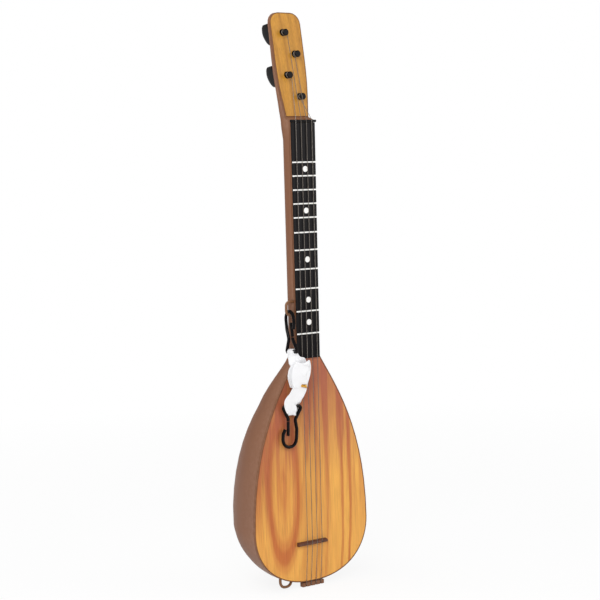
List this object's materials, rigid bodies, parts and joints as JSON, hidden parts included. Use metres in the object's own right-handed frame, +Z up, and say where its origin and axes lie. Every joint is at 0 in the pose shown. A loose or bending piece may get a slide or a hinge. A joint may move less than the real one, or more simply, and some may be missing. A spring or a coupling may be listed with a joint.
{
  "type": "toy saz",
  "caption": "Long-necked toy lute with a deep moulded bowl, fretted neck, leaning headstock with turning pegs, nylon strings, floating bridge, and a webbing strap folded between snap hooks.",
  "frame": {"origin": "middle of the top end of the fretboard's face, at the nut, where a wall hanger takes the neck", "axes": "+Z up along the neck, +X to the right seen from the front, the strings and soundboard face -Y"},
  "size_m": [0.158, 0.113, 0.6494],
  "materials": {
    "moulded_brown": "satin brown moulding, sprayed over",
    "wood_grain_film": "printed orange wood-grain film, clear gloss",
    "black_plastic": "glossy black moulding",
    "white_plastic": "white moulded bars and dots",
    "stained_wood": "dark red stain, rough",
    "clear_nylon": "clear nylon line",
    "white_webbing": "soft white woven webbing",
    "gold_tie": "gold foil over wire",
    "zinc_steel": "zinc-plated screw"
  },
  "bodies": {
    "instrument": {"back_shell": "moulded_brown", "bridge": "stained_wood", "fret_01": "white_plastic", "fret_02": "white_plastic", "fret_03": "white_plastic", "fret_04": "white_plastic", "fret_05": "white_plastic", "fret_06": "white_plastic", "fret_07": "white_plastic", "fret_08": "white_plastic", "fret_09": "white_plastic", "fret_10": "white_plastic", "fret_11": "white_plastic", "fretboard": "black_plastic", "front_shell": "moulded_brown", "headstock_film": "wood_grain_film", "neck_screw_1": "zinc_steel", "neck_screw_2": "zinc_steel", "neck_screw_3": "zinc_steel", "neck_strap_loop": "moulded_brown", "nut": "black_plastic", "peg_collar_1": "black_plastic", "peg_collar_2": "black_plastic", "peg_collar_3": "black_plastic", "peg_collar_4": "black_plastic", "position_dot_1": "white_plastic", "position_dot_2": "white_plastic", "position_dot_3": "white_plastic", "position_dot_4": "white_plastic", "position_dot_5": "white_plastic", "soundboard_film": "wood_grain_film", "string_1": "clear_nylon", "string_2": "clear_nylon", "string_3": "clear_nylon", "string_4": "clear_nylon", "string_knot_1": "clear_nylon", "string_knot_2": "clear_nylon", "string_knot_3": "clear_nylon", "string_knot_4": "clear_nylon", "tail_comb": "moulded_brown", "tail_strap_loop": "moulded_brown"},
    "peg_1_turning": {"peg_1": "black_plastic", "string_winding_1": "clear_nylon"},
    "peg_2_turning": {"peg_2": "black_plastic", "string_winding_2": "clear_nylon"},
    "peg_3_turning": {"peg_3": "black_plastic", "string_winding_3": "clear_nylon"},
    "peg_4_turning": {"peg_4": "black_plastic", "string_winding_4": "clear_nylon"},
    "upper_hook_body": {"upper_hook": "black_plastic"},
    "upper_tongue": {"upper_hook_tongue": "black_plastic"},
    "strap_bundle": {"strap": "white_webbing", "twist_tie": "gold_tie"},
    "lower_hook_body": {"lower_hook": "black_plastic"},
    "lower_tongue": {"lower_hook_tongue": "black_plastic"}
  },
  "joints": [
    {"name": "peg_1_turn", "type": "hinge", "parent": "instrument", "child": "peg_1_turning", "pos_m": [-0.0054, 0.0275, 0.1], "axis": [0, 1, 0], "continuous": true},
    {"name": "peg_2_turn", "type": "hinge", "parent": "instrument", "child": "peg_2_turning", "pos_m": [0.0074, 0.02327, 0.0761], "axis": [0, 1, 0], "continuous": true},
    {"name": "peg_3_turn", "type": "hinge", "parent": "instrument", "child": "peg_3_turning", "pos_m": [-0.0068, 0.01904, 0.0522], "axis": [0, 1, 0], "continuous": true},
    {"name": "peg_4_turn", "type": "hinge", "parent": "instrument", "child": "peg_4_turning", "pos_m": [0.007, 0.01481, 0.0283], "axis": [0, 1, 0], "continuous": true},
    {"name": "upper_hook_swing", "type": "hinge", "parent": "instrument", "child": "upper_hook_body", "pos_m": [-0.02085, 0.0068, -0.2151], "axis": [1, 0, 0], "range_deg": [-45, 0]},
    {"name": "upper_tongue_flex", "type": "hinge", "parent": "upper_hook_body", "child": "upper_tongue", "pos_m": [-0.02127, 0.00102, -0.23955], "axis": [0.9903, -0.1383, 0.0158], "range_deg": [-12, 0], "stiffness_Nm_per_rad": 0.005},
    {"name": "strap_swing", "type": "hinge", "parent": "upper_hook_body", "child": "strap_bundle", "pos_m": [-0.0206, 0.0038, -0.25718], "axis": [0, -1, 0], "range_deg": [-35, 0]},
    {"name": "lower_hook_swing", "type": "hinge", "parent": "strap_bundle", "child": "lower_hook_body", "pos_m": [-0.0267, -0.002, -0.317], "axis": [0.9976, 0, -0.0698], "range_deg": [-60, 0]},
    {"name": "lower_tongue_flex", "type": "hinge", "parent": "lower_hook_body", "child": "lower_tongue", "pos_m": [-0.03269, -0.002, -0.33382], "axis": [0, 1, 0], "range_deg": [-12, 0], "stiffness_Nm_per_rad": 0.005}
  ]
}
